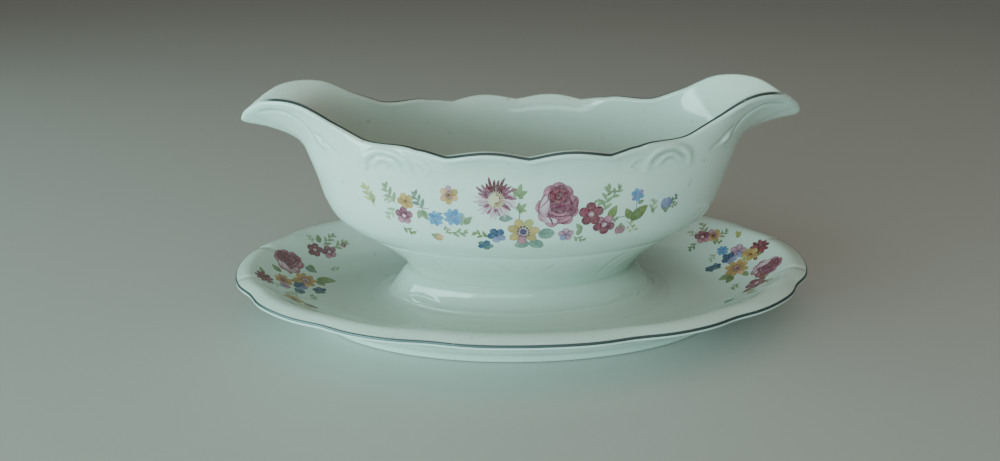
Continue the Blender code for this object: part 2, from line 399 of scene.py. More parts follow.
def crown(angles, edge, out, phi, lift=0.0):
    """A ring on the rounded top of the rim, from 0 at its outside to pi at its inside."""
    half_wall = thickness(angles, TOP) / 2
    rise = CROWN + (TIP_CROWN - CROWN) * near_tip(angles)
    up = unit(np.cross(out, across(edge)))
    middle = edge - out * half_wall
    return middle + out * cos(phi) * (half_wall + lift) + up * sin(phi) * (rise + lift)


def make_boat():
    angles = ring_angles(ROUND, BOAT_SQUEEZE)
    foot = refine(ovals([*FOOT, WAIST], angles), FOOT_STEPS)
    cove = refine(ovals([WAIST, *COVE, CREASE], angles), COVE_STEPS)
    wall = refine(wall_keys(angles), WALL_STEPS)
    plain = np.concatenate([foot, cove[1:], wall[1:]])
    crease = len(foot) + len(cove) - 2  # the row that it is in
    near_crease = slice(crease - 1, crease + 2)
    sink = np.array(CREASE_SINK)[:, None, None]
    plain[near_crease] -= normals(plain)[near_crease] * sink
    outside = carve(plain)

    out = normals(wall)
    top, top_out = wall[-1], out[-1]
    turns = np.linspace(0, pi, CROWN_STEPS + 1)[1:-1]
    over = np.array([crown(angles, top, top_out, phi) for phi in turns])
    inner = []
    for level in range(TOP, 1, -1):
        row = level * WALL_STEPS
        inner.append(wall[row] - out[row] * thickness(angles, level))
    inner += ovals([*FLOOR, FLOOR_MIDDLE], angles)
    inside = refine(inner, INSIDE_STEPS)
    foot_inside = (FOOT[0][0] - FOOT_WALL, FOOT[0][1] - FOOT_WALL, FOOT_BASE)
    under = refine(ovals([*HOLLOW, foot_inside], angles), HOLLOW_STEPS)

    rings = np.concatenate([under, outside, over, inside])
    # Darkens the glaze: pooled glaze and painted shade in hollows, and painted shade round the
    # cove, spreading onto the waist and the foot's top.
    pool_and_shade = hollow_pool_and_shade(rings)
    pool_and_shade[: len(under)] = 0
    from_cove = (outside[..., 2] - COVE[0][2]) / COVE_SHADE_SPREAD
    pool_and_shade[len(under) : len(under) + len(outside)] += COVE_SHADE * np.exp(-(from_cove**2))
    colours = greys(pool_and_shade)
    faces = grid_faces(*rings.shape[:2], caps=True)
    add_piece("boat_clay", rings.reshape(-1, 3), faces, glaze, "boat", colours)
    make_boat_line(angles, top, top_out)
    return tree_of(outside)


def make_underplate():
    angles = ring_angles(ROUND, PLATE_SQUEEZE)
    keys = plate_keys(angles)
    rings = refine([*keys, keys[0]], PLATE_STEPS)[:-1]
    rings[..., 2] = np.maximum(rings[..., 2], 0)
    rings = rings[::-1]
    faces = grid_faces(*rings.shape[:2], close_rows=True)
    points = rings.reshape(-1, 3)
    # The plate's hollows are darkened: pooled glaze and painted shade.
    add_piece("underplate_clay", points, faces, glaze, "underplate", greys(hollow_pool_and_shade(rings)))
    make_plate_line(angles, keys)
    return tree_of(refine(keys[: EDGE + 1], PLATE_STEPS)[::-1])


def make_fillet():
    angles = ring_angles(FILLET_ROUND, 0)
    top = refine(ovals(FILLET, angles), FILLET_STEPS)
    rings = np.concatenate([top, ovals(FILLET_UNDERSIDE, angles)])[::-1]
    faces = grid_faces(*rings.shape[:2], close_rows=True)
    points = rings.reshape(-1, 3)
    add_piece("foot_fillet", points, faces, glaze, "luting_slip", np.zeros_like(points))


# ---------------------------------------------------------------------------
# Platinum lines
# ---------------------------------------------------------------------------

LINE_LIFT, LINE_SINK = 0.05, -0.15
BOAT_LINE = (62, 72, 82, 92, 102)  # where it lies on the rim's crown, in degrees
WORN_OFF, WORN_EDGE = 18, 5  # degrees from the tips that are bare, and then half worn
BAND_STEPS = 10
PLATE_LINE = (8, 6, 3, 1)  # steps inside the underplate's edge


def make_line(name, node, above, below, wear):
    """A thin band between rings on the glaze and rings just under it."""
    rings = np.concatenate([above, below[::-1]])[::-1]
    faces = grid_faces(*rings.shape[:2], close_rows=True)
    colours = np.tile(wear[:, None], (len(rings), 3))
    add_piece(name, rings.reshape(-1, 3), faces, platinum, node, colours)


def make_boat_line(angles, top, out):
    span = [radians(phi) for phi in BOAT_LINE]
    above = [crown(angles, top, out, phi, LINE_LIFT) for phi in span]
    below = [crown(angles, top, out, phi, LINE_SINK) for phi in span]
    to_tip = 90 - quarter(angles)
    wear = np.clip((WORN_OFF + WORN_EDGE - to_tip) / WORN_EDGE, 0, 1)
    make_line("boat_platinum_line", "boat_rim_line", above, below, wear)


def make_plate_line(angles, keys):
    band = refine(keys, BAND_STEPS)
    out = -normals(band)
    rows = [EDGE * BAND_STEPS - k for k in PLATE_LINE]
    above = [band[r] + out[r] * LINE_LIFT for r in rows]
    below = [band[r] + out[r] * LINE_SINK for r in rows]
    make_line("underplate_platinum_line", "underplate_rim_line", above[::-1], below[::-1],
              np.zeros(len(angles)))


# ---------------------------------------------------------------------------
# Printed sprays. A print is many brush strokes, each one a thin closed film on the glaze.
# ---------------------------------------------------------------------------

INK_LIFT, INK_STEP, INK_SINK = 0.025, 0.003, -0.04
TONE_SPREAD = 0.12  # how much a stroke is darker or lighter than its ink
STROKE_ROWS = 9  # along a stroke
STROKE_ACROSS = np.array([1.0, 0.7, 0.0, -0.7, -1.0])
HAIR = 0.32  # the width of a thin stem

# An ink's colour where a stroke starts, where it ends, and along its edges.
INKS = {
    "wine": ((0.12, 0.01, 0.02), (0.17, 0.01, 0.04), (0.10, 0.01, 0.02)),
    "crimson": ((0.36, 0.07, 0.12), (0.18, 0.01, 0.04), (0.11, 0.01, 0.03)),
    "scarlet": ((0.36, 0.04, 0.04), (0.26, 0.02, 0.04), (0.15, 0.02, 0.03)),
    "rose": ((0.16, 0.02, 0.06), (0.34, 0.09, 0.16), (0.15, 0.01, 0.05)),
    "blush": ((0.31, 0.06, 0.13), (0.60, 0.26, 0.34), (0.21, 0.03, 0.09)),
    "pearl": ((0.52, 0.28, 0.36), (0.80, 0.67, 0.72), (0.29, 0.06, 0.15)),
    "peach": ((0.45, 0.16, 0.08), (0.72, 0.41, 0.24), (0.54, 0.26, 0.13)),
    "mauve": ((0.45, 0.22, 0.23), (0.54, 0.31, 0.39), (0.39, 0.21, 0.29)),
    "amber": ((0.32, 0.14, 0.03), (0.58, 0.32, 0.10), (0.37, 0.18, 0.06)),
    "honey": ((0.42, 0.22, 0.05), (0.56, 0.37, 0.14), (0.38, 0.23, 0.07)),
    "straw": ((0.38, 0.38, 0.15), (0.56, 0.46, 0.17), (0.36, 0.36, 0.14)),
    "cream": ((0.70, 0.58, 0.38), (0.73, 0.61, 0.43), (0.54, 0.44, 0.29)),
    "brown": ((0.18, 0.05, 0.02), (0.23, 0.07, 0.02), (0.16, 0.04, 0.02)),
    "sky": ((0.08, 0.23, 0.45), (0.18, 0.36, 0.56), (0.05, 0.18, 0.42)),
    "azure": ((0.05, 0.16, 0.40), (0.12, 0.29, 0.50), (0.04, 0.13, 0.36)),
    "navy": ((0.04, 0.07, 0.17), (0.04, 0.09, 0.19), (0.02, 0.03, 0.10)),
    "lilac": ((0.17, 0.18, 0.36), (0.31, 0.31, 0.49), (0.15, 0.16, 0.36)),
    "violet": ((0.38, 0.15, 0.26), (0.70, 0.38, 0.50), (0.09, 0.01, 0.06)),
    "purple": ((0.06, 0.02, 0.08), (0.07, 0.03, 0.11), (0.05, 0.02, 0.08)),
    "teal": ((0.13, 0.21, 0.18), (0.27, 0.38, 0.31), (0.11, 0.20, 0.17)),
    "slate": ((0.06, 0.11, 0.14), (0.12, 0.19, 0.22), (0.04, 0.09, 0.11)),
    "leaf": ((0.14, 0.20, 0.08), (0.28, 0.35, 0.17), (0.13, 0.19, 0.09)),
    "olive": ((0.12, 0.16, 0.04), (0.26, 0.29, 0.09), (0.13, 0.17, 0.06)),
    "moss": ((0.19, 0.25, 0.13), (0.29, 0.35, 0.20), (0.18, 0.23, 0.13)),
    "mist": ((0.34, 0.41, 0.27), (0.38, 0.46, 0.31), (0.30, 0.38, 0.26)),
    "grey_green": ((0.17, 0.22, 0.17), (0.12, 0.17, 0.13), (0.13, 0.18, 0.14)),
}


class Spray:
    """A print on the glaze. Strokes are drawn in millimetres round the motif's middle."""

    def __init__(self, tree, aim):
        self.tree = tree
        self.aim = Vector(aim)
        self.points, self.colours, self.faces, self.spots = [], [], [], []

    def set_down(self, start, turn):
        """Puts the next motif where a line of sight from start meets the glaze."""
        self.middle, out = self.tree.ray_cast(Vector(start), self.aim)[:2]
        self.out = -out if out.dot(self.aim) > 0 else out
        right = (Vector((1, 0, 0)) - self.out * self.out.x).normalized()
        up = self.out.cross(right)
        a = radians(turn)
        self.right = right * cos(a) + up * sin(a)
        self.up = self.out.cross(self.right)

    def level(self, middle, reach):
        """How many strokes lie one on another under a new stroke."""
        under = [n for at, r, n in self.spots if (at - middle).length < 0.9 * (r + reach)]
        self.spots.append((middle, reach, max(under, default=-1) + 1))
        return self.spots[-1][2]

    def stroke(self, start, end, width, ink, bend=0.0, blunt=0.5, belly=0.5):
        """A stroke that bends to its left; belly says where along it is the widest."""
        start, run = np.array(start, float), np.subtract(end, start)
        side = np.array([-run[1], run[0]])
        t = 0.5 - 0.495 * np.cos(pi * np.arange(STROKE_ROWS) / (STROKE_ROWS - 1))
        spine = start + np.outer(t, run) + np.outer(4 * bend * t * (1 - t), side)
        ahead = unit(np.gradient(spine, axis=0))
        left = np.column_stack([-ahead[:, 1], ahead[:, 0]])
        half = width / 2 * np.sin(pi * t ** (log(0.5) / log(belly))) ** blunt
        u, v = spine[STROKE_ROWS // 2]
        middle = self.middle + self.right * u + self.up * v
        lift = INK_LIFT + INK_STEP * self.level(middle, max(np.linalg.norm(run), width) / 2)

        first, last, edge = (np.array(colour) for colour in INKS[ink])
        shade = 1 + TONE_SPREAD * sin(2.4 * len(self.spots))
        base = len(self.points)
        section = [(s, lift) for s in STROKE_ACROSS] + [(-1, INK_SINK), (1, INK_SINK)]
        for r in range(STROKE_ROWS):
            body = first + (last - first) * t[r]
            for s, height in section:
                u, v = spine[r] + left[r] * half[r] * s
                spot = self.middle + self.right * u + self.up * v
                hit, out = self.tree.find_nearest(spot)[:2]
                if out.dot(self.out) < 0:
                    out = -out
                self.points.append(hit + out * height)
                rimmed = max(abs(s) ** 4, 0.7 * t[r] ** 8)
                self.colours.append((body + (edge - body) * rimmed) * shade)
        for face in grid_faces(STROKE_ROWS, len(section), caps=True):
            self.faces.append(tuple(base + i for i in face))


def petals(spray, count, near, far, width, inks):
    """Petals round the middle, the first one straight up."""
    for k in range(count):
        a = radians(90 + 360 * k / count)
        way = np.array([cos(a), sin(a)])
        ink = inks[k % len(inks)]
        spray.stroke(way * near, way * far, width, ink, 0.03 * (-1) ** k, 0.45, 0.62)


def arcs(spray, middle, radius, count, width, ink, start=0):
    """Curved strokes round a circle."""
    step = 2 * pi / count
    for k in range(count):
        ends = [radians(start) + step * (k + share) for share in (-0.15, 1.15)]
        ends = [(middle[0] + radius * cos(a), middle[1] + radius * sin(a)) for a in ends]
        spray.stroke(*ends, width, ink, bend=-tan(step * 0.325) / 2)


def spot(spray, radius, ink, at=(0, 0)):
    """A round dab."""
    spray.stroke((at[0] - radius, at[1]), (at[0] + radius, at[1]), 2 * radius, ink)


def dots(spray, count, reach, radius, ink, share=1.0):
    """Specks along a circle, or along a share of it from the right."""
    for k in range(count):
        a = 2 * pi * share * k / count - pi * share
        away = reach * (1 + 0.12 * sin(5.0 * k))
        spot(spray, radius, ink, (away * cos(a), away * sin(a)))


PETAL_FULLNESS = 4.1

# A flower's petals, their inks in turn, its middle's ink and share, and its specks' ink.
FLOWERS = {
    "buttercup": (5, ["honey", "amber", "honey", "amber", "honey"], "brown", 0.20, None),
    "pink": (5, ["rose", "rose", "blush", "blush", "rose"], "pearl", 0.16, "wine"),
    "peach": (6, ["mauve", "peach", "peach", "honey", "peach", "honey"], "brown", 0.24, "brown"),
    "blue": (8, ["sky", "azure", "sky"], "lilac", 0.22, None),
    "pale_blue": (6, ["sky", "sky", "lilac"], "lilac", 0.25, None),
    "pansy": (5, ["navy", "navy", "lilac", "lilac", "navy"], "purple", 0.14, None),
    "navy": (5, ["slate", "navy", "slate", "slate", "navy"], "slate", 0.15, None),
    "daisy": (7, ["honey", "honey", "honey", "blush", "honey", "honey", "straw"],
              "purple", 0.23, "purple"),
    "marigold": (8, ["honey", "amber", "amber", "honey", "peach"], "brown", 0.25, "brown"),
    "crimson": (5, ["crimson"], "pearl", 0.16, "wine"),
    "rosy": (5, ["blush", "crimson", "crimson", "rose", "blush"], "pearl", 0.17, "wine"),
    "violet": (5, ["violet", "violet", "lilac", "violet", "violet"], "purple", 0.14, None),
    "thistle": (9, ["scarlet", "crimson", "wine"], "wine", 0.25, None),
}


def flower(spray, size, kind):
    """An open flower: petals, a middle, and specks round the middle."""
    count, inks, middle, share, specks = FLOWERS[kind]
    petals(spray, count, 0.05 * size, size, PETAL_FULLNESS * size / count, inks)
    if specks:
        spot(spray, 1.4 * share * size, "pearl")
        dots(spray, 12, 0.36 * size, 0.05 * size + 0.1, specks)
    spot(spray, share * size, middle)


# A rose's cupped petals in shares of its size: start, end, width, ink and bend.
ROSE_CUPS = [
    ((0.30, -0.62), (0.80, 0.30), 0.34, "rose", -0.16),
    ((-0.66, -0.50), (0.10, -0.72), 0.34, "pearl", -0.10),
    ((0.02, -0.74), (0.62, -0.52), 0.32, "blush", -0.14),
    ((-0.26, -0.10), (0.66, 0.02), 0.50, "rose", -0.26),
    ((-0.30, -0.30), (0.56, -0.34), 0.36, "blush", -0.18),
    ((-0.50, -0.50), (-0.38, 0.46), 0.50, "pearl", 0.10),
    ((-0.36, -0.48), (-0.16, -0.92), 0.07, "wine", 0.10),
    ((-0.70, -0.40), (-0.52, 0.40), 0.05, "wine", 0.18),
    ((0.28, -0.50), (0.60, 0.28), 0.05, "wine", -0.20),
    ((-0.34, -0.34), (0.56, -0.42), 0.06, "wine", -0.16),
    ((-0.30, -0.02), (0.62, -0.14), 0.06, "wine", -0.30),
    ((0.02, -0.84), (0.60, -0.66), 0.05, "wine", -0.14),
    ((0.74, -0.16), (0.62, 0.62), 0.05, "wine", 0.16),
    ((-0.78, -0.10), (-0.30, 0.72), 0.05, "crimson", -0.16),
    ((-0.28, 0.78), (0.46, 0.80), 0.05, "wine", -0.16),
]


def rose(spray, size, ink):
    """A full rose seen from its side, with its heart, in the given ink, towards the top."""
    for a, reach in ((215, 0.95), (330, 0.98), (250, 1.05), (298, 1.05), (5, 0.95), (178, 0.9)):
        way = np.array([cos(radians(a)), sin(radians(a))]) * size
        spray.stroke(way * 0.3, way * reach, 0.62 * size, "blush", 0.08, 0.4, 0.6)
    arcs(spray, (0.05 * size, 0.30 * size), 0.56 * size, 7, 0.34 * size, "blush", 10)
    spot(spray, 0.62 * size, ink, (0.02 * size, 0.02 * size))
    for start, end, width, cup_ink, bend in ROSE_CUPS:
        start, end = np.array(start) * size, np.array(end) * size
        spray.stroke(start, end, width * size, cup_ink, bend)
    heart = (0.08 * size, 0.42 * size)
    arcs(spray, heart, 0.38 * size, 7, 0.2 * size, ink)
    arcs(spray, heart, 0.37 * size, 5, 0.05 * size, "wine", 20)
    arcs(spray, heart, 0.24 * size, 5, 0.19 * size, "crimson", 30)
    spot(spray, 0.2 * size, "wine", heart)
    arcs(spray, heart, 0.1 * size, 3, 0.06 * size, ink, 60)


def aster(spray, size, ink):
    """A shaggy flower, dark above and pale below, with a wide speckled middle."""
    for count, near, far, turn in ((27, 0.4, 1.0, 0), (21, 0.3, 0.78, 9)):
        for k in range(count):
            a = radians(turn + 360 * k / count)
            reach = far * size * (1 + 0.12 * sin(4.1 * k))
            way = np.array([cos(a), sin(a)])
            tone = "wine" if sin(a) > 0.8 else ink if sin(a) > 0.3 or k % 3 == 0 else "pearl"
            spray.stroke(way * near * size, way * reach, 0.14 * size, tone, 0.06, 0.6)
    spot(spray, 0.40 * size, "cream", (0.02 * size, -0.06 * size))
    for reach in (0.2, 0.29, 0.38):
        dots(spray, 11, reach * size, 0.035 * size, "brown", 0.55)


def leaf(spray, size, ink):
    """A pointed leaf with a darker half and a vein."""
    spray.stroke((0, 0), (size, 0), 0.56 * size, ink, 0.05, 0.85, 0.42)
    dark = "grey_green" if ink in ("teal", "moss", "mist") else "olive"
    spray.stroke((0, 0), (0.92 * size, 0), 0.05 * size + 0.1, dark, 0.05)


def round_leaf(spray, size, ink):
    """A heart-shaped leaf."""
    for side in (1, -1):
        spray.stroke((0, 0), (size, 0), 0.5 * size, ink, 0.16 * side, 0.7, 0.45)
    spray.stroke((0, 0), (0.9 * size, 0), 0.05 * size + 0.1, "grey_green", 0.03)


def lobed_leaf(spray, size, ink):
    """A leaf with five narrow lobes."""
    for angle, reach in ((-105, 0.5), (105, 0.5), (-52, 0.8), (52, 0.8), (0, 1.0)):
        a = radians(angle)
        tip = (reach * size * cos(a), reach * size * sin(a))
        spray.stroke((0, 0), tip, 0.4 * size, ink, blunt=0.8, belly=0.45)


def sprig(spray, size, ink):
    """A thin stem with leaflets on both sides and one at its tip."""
    spray.stroke((0, 0), (0.8 * size, 0), HAIR, ink, 0.04)
    count = max(4, round(size / 1.9))
    for k in range(count):
        foot = size * (0.16 + 0.56 * k / (count - 1))
        a = radians(46 if k % 2 else -40)
        reach = min(0.46 * size, 3.8) * (1 - 0.3 * k / count)
        tip = (foot + reach * cos(a), reach * sin(a))
        spray.stroke((foot, 0), tip, 0.3 * reach + 0.3, ink, 0.08 * (-1) ** k, 0.8)
    spray.stroke((0.72 * size, 0), (size, 0.03 * size), 0.12 * size + 0.25, ink, blunt=0.8)


def stem(spray, size, ink):
    spray.stroke((0, 0), (size, 0), HAIR, ink, 0.07)


def bud(spray, size, ink):
    """A closed flower with two green sepals at its foot."""
    for side in (1, -1, 0):
        start, end = (0.2 * size, 0.1 * side * size), (0.95 * size, 0.14 * side * size)
        spray.stroke(start, end, 0.34 * size, ink, 0.1 * side)
    for side in (1, -1):
        spray.stroke((0, 0), (0.5 * size, 0.22 * side * size), 0.12 * size + 0.1, "moss")


def berries(spray, size, ink):
    """A stem with five round dabs along it."""
    stem(spray, size, "moss")
    for k in range(5):
        at = (size * (0.3 + 0.17 * k), 0.17 * size * (-1) ** k)
        spot(spray, 0.1 * size, ink, at)


# What is printed: the motif, where it lies, its turn in degrees from +X, its size, and its
# ink or the kind of flower.
# The boat's spray gives x and height, and the underplate's sprays give x and y.
BOAT_SPRAY = [
    (sprig, -54.2, 58.0, 118, 10.5, "straw"),
    (sprig, -55.0, 59.6, 100, 4.5, "moss"),
    (sprig, -46.2, 60.5, 124, 9.5, "moss"),
    (sprig, -46.4, 59.8, 228, 7.0, "mist"),
    (sprig, -46.8, 61.5, 170, 4.5, "mist"),
    (sprig, -36.4, 59.0, 120, 8.6, "grey_green"),
    (stem, -34.4, 60.4, 176, 5.4, "violet"),
    (leaf, -38.0, 59.6, 258, 3.8, "moss"),
    (leaf, -37.4, 59.6, 296, 4.2, "moss"),
    (sprig, -45.2, 52.0, 335, 6.0, "olive"),
    (leaf, -23.4, 54.4, 84, 5.2, "mist"),
    (leaf, -22.4, 54.8, 52, 4.4, "moss"),
    (sprig, -29.4, 54.4, 290, 4.4, "moss"),
    (sprig, -28.0, 51.2, 4, 7.0, "moss"),
    (stem, -32.6, 59.0, 350, 4.6, "olive"),
    (sprig, -13.6, 49.6, 160, 6.6, "olive"),
    (leaf, -10.4, 57.4, 2, 5.0, "teal"),
    (stem, -3.4, 60.0, 265, 4.0, "brown"),
    (lobed_leaf, -3.8, 66.2, 74, 4.4, "leaf"),
    (lobed_leaf, -3.4, 61.0, 40, 3.4, "leaf"),
    (round_leaf, 3.4, 51.0, 4, 5.8, "teal"),
    (round_leaf, 0.8, 48.2, 318, 5.8, "teal"),
    (round_leaf, 0.2, 47.4, 200, 5.4, "teal"),
    (sprig, 15.6, 49.4, 330, 5.6, "moss"),
    (leaf, 17.4, 49.8, 66, 3.8, "moss"),
    (leaf, 19.0, 52.2, 128, 3.6, "moss"),
    (sprig, 26.0, 57.4, 78, 12.0, "moss"),
    (sprig, 28.4, 63.0, 50, 6.5, "moss"),
    (sprig, 27.0, 61.2, 152, 4.8, "moss"),
    (stem, 28.0, 54.8, 4, 9.6, "grey_green"),
    (sprig, 27.0, 55.2, 358, 5.0, "leaf"),
    (leaf, 28.6, 55.4, 64, 6.0, "olive"),
    (leaf, 37.0, 54.8, 118, 5.4, "olive"),
    (leaf, 36.8, 53.8, 40, 8.2, "olive"),
    (stem, 38.6, 57.6, 92, 5.0, "sky"),
    (leaf, 38.8, 60.4, 24, 2.6, "moss"),
    (berries, 35.0, 54.0, 304, 6.4, "straw"),
    (bud, 33.0, 53.6, 268, 5.4, "blush"),
    (sprig, 44.6, 55.4, 86, 6.4, "mist"),
    (leaf, 44.2, 58.0, 290, 2.6, "moss"),
    (sprig, 51.2, 57.6, 48, 5.0, "grey_green"),
    (sprig, 51.4, 57.0, 8, 3.6, "moss"),
    (bud, 50.0, 55.0, 90, 6.6, "lilac"),
    (bud, -34.4, 49.8, 342, 4.8, "peach"),
    (flower, -43.0, 62.3, 20, 3.2, "buttercup"),
    (flower, -43.9, 56.6, 0, 3.5, "pink"),
    (flower, -27.6, 65.8, 0, 3.5, "peach"),
    (flower, -32.6, 56.6, 10, 3.1, "blue"),
    (flower, -26.3, 57.6, 25, 3.5, "blue"),
    (aster, -11.4, 64.8, 0, 7.4, "rose"),
    (flower, -11.2, 50.6, 30, 3.4, "pansy"),
    (flower, -15.2, 45.9, 50, 2.9, "navy"),
    (rose, 9.6, 62.2, 0, 8.2, "rose"),
    (flower, -1.9, 52.2, 22, 5.8, "daisy"),
    (flower, 13.2, 50.4, 0, 2.9, "violet"),
    (flower, 26.8, 53.4, 36, 4.2, "rosy"),
    (flower, 21.8, 58.2, 0, 4.6, "crimson"),
    (flower, 38.4, 63.8, 10, 2.6, "pale_blue"),
]
LEFT_SPRAY = [
    (sprig, -88.0, 27.0, 62, 10.0, "moss"),
    (sprig, -84.0, 28.0, 40, 9.0, "moss"),
    (leaf, -89.0, 28.5, 110, 4.5, "leaf"),
    (sprig, -91.5, 27.0, 130, 5.0, "mist"),
    (leaf, -93.0, 13.0, 350, 5.6, "teal"),
    (leaf, -92.0, 15.0, 330, 4.0, "leaf"),
    (leaf, -87.5, 8.0, 8, 8.5, "leaf"),
    (leaf, -87.5, 7.0, 330, 5.0, "olive"),
    (leaf, -100.5, 3.0, 160, 5.2, "leaf"),
    (leaf, -97.0, 5.0, 120, 4.2, "olive"),
    (leaf, -105.0, -6.0, 130, 4.6, "leaf"),
    (sprig, -84.0, 17.0, 20, 5.0, "mist"),
    (sprig, -97.0, -8.0, 215, 7.0, "mist"),
    (sprig, -91.0, -7.0, 240, 9.0, "mist"),
    (sprig, -87.0, -4.0, 290, 6.0, "moss"),
    (stem, -92.0, -12.0, 20, 8.0, "mauve"),
    (leaf, -92.0, -16.5, 240, 6.0, "straw"),
    (leaf, -88.0, -17.5, 350, 7.0, "mauve"),
    (leaf, -87.0, -19.5, 20, 6.0, "brown"),
    (sprig, -89.0, -21.0, 330, 9.0, "straw"),
    (rose, -99.6, 11.4, 66, 6.9, "rose"),
    (flower, -90.6, 24.0, 0, 3.7, "crimson"),
    (flower, -84.8, 26.0, 30, 3.6, "pink"),
    (flower, -79.2, 31.5, 0, 1.3, "pink"),
    (leaf, -96.4, 0.6, 20, 6.0, "honey"),
    (flower, -104.2, -9.0, 150, 4.4, "thistle"),
    (flower, -98.6, -2.2, 0, 4.2, "marigold"),
    (flower, -91.6, 4.8, 20, 5.0, "marigold"),
    (flower, -97.2, -6.2, 0, 2.6, "violet"),
    (flower, -92.4, -0.8, 60, 3.2, "pansy"),
    (flower, -91.8, -5.4, 0, 2.5, "navy"),
    (flower, -84.8, 0.0, 20, 3.0, "navy"),
    (flower, -91.0, -17.6, 0, 4.6, "buttercup"),
]
RIGHT_SPRAY = [
    (sprig, 85.5, 31.0, 92, 7.0, "moss"),
    (sprig, 82.5, 31.0, 130, 6.0, "mist"),
    (sprig, 81.6, 29.0, 215, 6.0, "moss"),
    (sprig, 89.5, 27.0, 20, 6.5, "moss"),
    (sprig, 87.0, 26.5, 340, 5.0, "leaf"),
    (leaf, 97.0, 22.0, 50, 4.0, "straw"),
    (leaf, 98.0, 22.5, 100, 3.2, "straw"),
    (sprig, 88.0, 20.0, 220, 5.5, "mist"),
    (sprig, 96.0, 11.0, 60, 6.5, "moss"),
    (leaf, 90.0, 5.0, 200, 6.6, "leaf"),
    (leaf, 90.0, 3.5, 230, 6.0, "olive"),
    (leaf, 94.0, 3.0, 285, 5.0, "leaf"),
    (leaf, 101.5, 7.5, 30, 5.0, "leaf"),
    (leaf, 100.5, 5.5, 80, 3.4, "brown"),
    (sprig, 91.0, -4.0, 220, 6.5, "moss"),
    (leaf, 97.0, -10.0, 350, 4.2, "leaf"),
    (sprig, 96.0, -13.0, 300, 6.5, "olive"),
    (sprig, 92.0, -14.0, 250, 7.5, "moss"),
    (leaf, 100.0, -8.0, 330, 3.8, "mist"),
    (sprig, 89.0, -19.0, 280, 7.0, "moss"),
    (leaf, 79.6, -21.0, 20, 5.4, "teal"),
    (stem, 86.0, -15.0, 230, 5.0, "moss"),
    (flower, 88.6, 29.0, 10, 3.7, "peach"),
    (flower, 84.0, 30.5, 0, 3.6, "pink"),
    (flower, 96.0, 15.8, 40, 3.8, "violet"),
    (flower, 103.6, 11.6, 300, 4.4, "thistle"),
    (flower, 90.4, 19.8, 0, 2.8, "blue"),
    (leaf, 96.6, 11.8, 24, 5.0, "honey"),
    (flower, 99.6, 10.6, 0, 3.8, "buttercup"),
    (flower, 91.9, 14.4, 30, 3.5, "pansy"),
    (flower, 86.2, 13.0, 0, 2.2, "navy"),
    (flower, 83.2, 12.4, 40, 2.2, "navy"),
    (leaf, 88.6, 5.0, 30, 5.6, "amber"),
    (flower, 93.0, 6.8, 10, 5.4, "marigold"),
    (leaf, 96.4, 8.6, 60, 4.0, "straw"),
    (rose, 102.0, -3.2, 268, 6.9, "rose"),
    (flower, 95.0, -12.0, 0, 4.8, "crimson"),
    (leaf, 92.4, -13.6, 200, 5.0, "scarlet"),
    (leaf, 97.6, -9.0, 40, 4.4, "scarlet"),
]


def make_print(name, node, tree, motifs, aim, turned=False, fade=0.0):
    """Draws one spray; a turned one is on the boat's far side, and fade pales its inks towards the
    glaze as painted light, for a part more brightly lit.
    """
    spray = Spray(tree, aim)
    for motif, a, b, turn, size, ink in motifs:
        start = (a, BEFORE, b) if aim == BACKWARD else (a, b, ABOVE)
        spray.set_down(start, turn)
        motif(spray, size, ink)
    points = np.array([point[:] for point in spray.points])
    if turned:
        points *= (-1, -1, 1)
    colours = np.array(spray.colours)
    # Painted light: the inks are paled towards the glaze where the plate is more brightly lit.
    colours += (np.array(GLAZE_COLOUR) - colours) * fade
    add_piece(name, points, spray.faces, enamel, node, colours)


# ---------------------------------------------------------------------------
# Materials
# ---------------------------------------------------------------------------

GLAZE_COLOUR = (0.66, 0.76, 0.71)
POOL_AND_SHADE_COLOUR = (0.31, 0.41, 0.34)  # glaze where it lies thick, and painted shade in hollows and round the cove
POOL_AND_SHADE_SHARE = 0.6
SPECK_COLOUR = (0.30, 0.30, 0.24)
PLATINUM_COLOUR = (0.09, 0.12, 0.125)


def new_material(name):
    material = bpy.data.materials.new(name)
    material.use_nodes = True
    tree = material.node_tree
    return material, tree, tree.nodes["Principled BSDF"]


def noise(tree, scale, detail=2.0):
    """Noise in the object's own space; scale is in features per metre."""
    place = tree.nodes.new("ShaderNodeTexCoord")
    node = tree.nodes.new("ShaderNodeTexNoise")
    node.inputs["Scale"].default_value = scale
    node.inputs["Detail"].default_value = detail
    tree.links.new(place.outputs["Object"], node.inputs["Vector"])
    return node.outputs["Fac"]


def ramp(tree, value, low, high, start, end):
    """Maps a value from low..high to start..end."""
    node = tree.nodes.new("ShaderNodeMapRange")
    tree.links.new(value, node.inputs["Value"])
    for name, number in zip(("From Min", "From Max", "To Min", "To Max"), (low, high, start, end)):
        node.inputs[name].default_value = number
    return node.outputs["Result"]


def mix(tree, share, a, b, blend="MIX"):
    """A mix of two colours, each an RGB triple or a socket."""
    node = tree.nodes.new("ShaderNodeMix")
    node.data_type = "RGBA"
    node.blend_type = blend
    for name, given in (("Factor", share), ("A", a), ("B", b)):
        sockets = [s for s in node.inputs if s.name == name and s.enabled]
        if isinstance(given, bpy.types.NodeSocket):
            tree.links.new(given, sockets[0])
        elif name == "Factor":
            sockets[0].default_value = given
        else:
            sockets[0].default_value = (*given, 1)
    return [s for s in node.outputs if s.enabled][0]


def paint(tree):
    node = tree.nodes.new("ShaderNodeAttribute")
    node.attribute_name = "paint"
    return node.outputs["Color"]


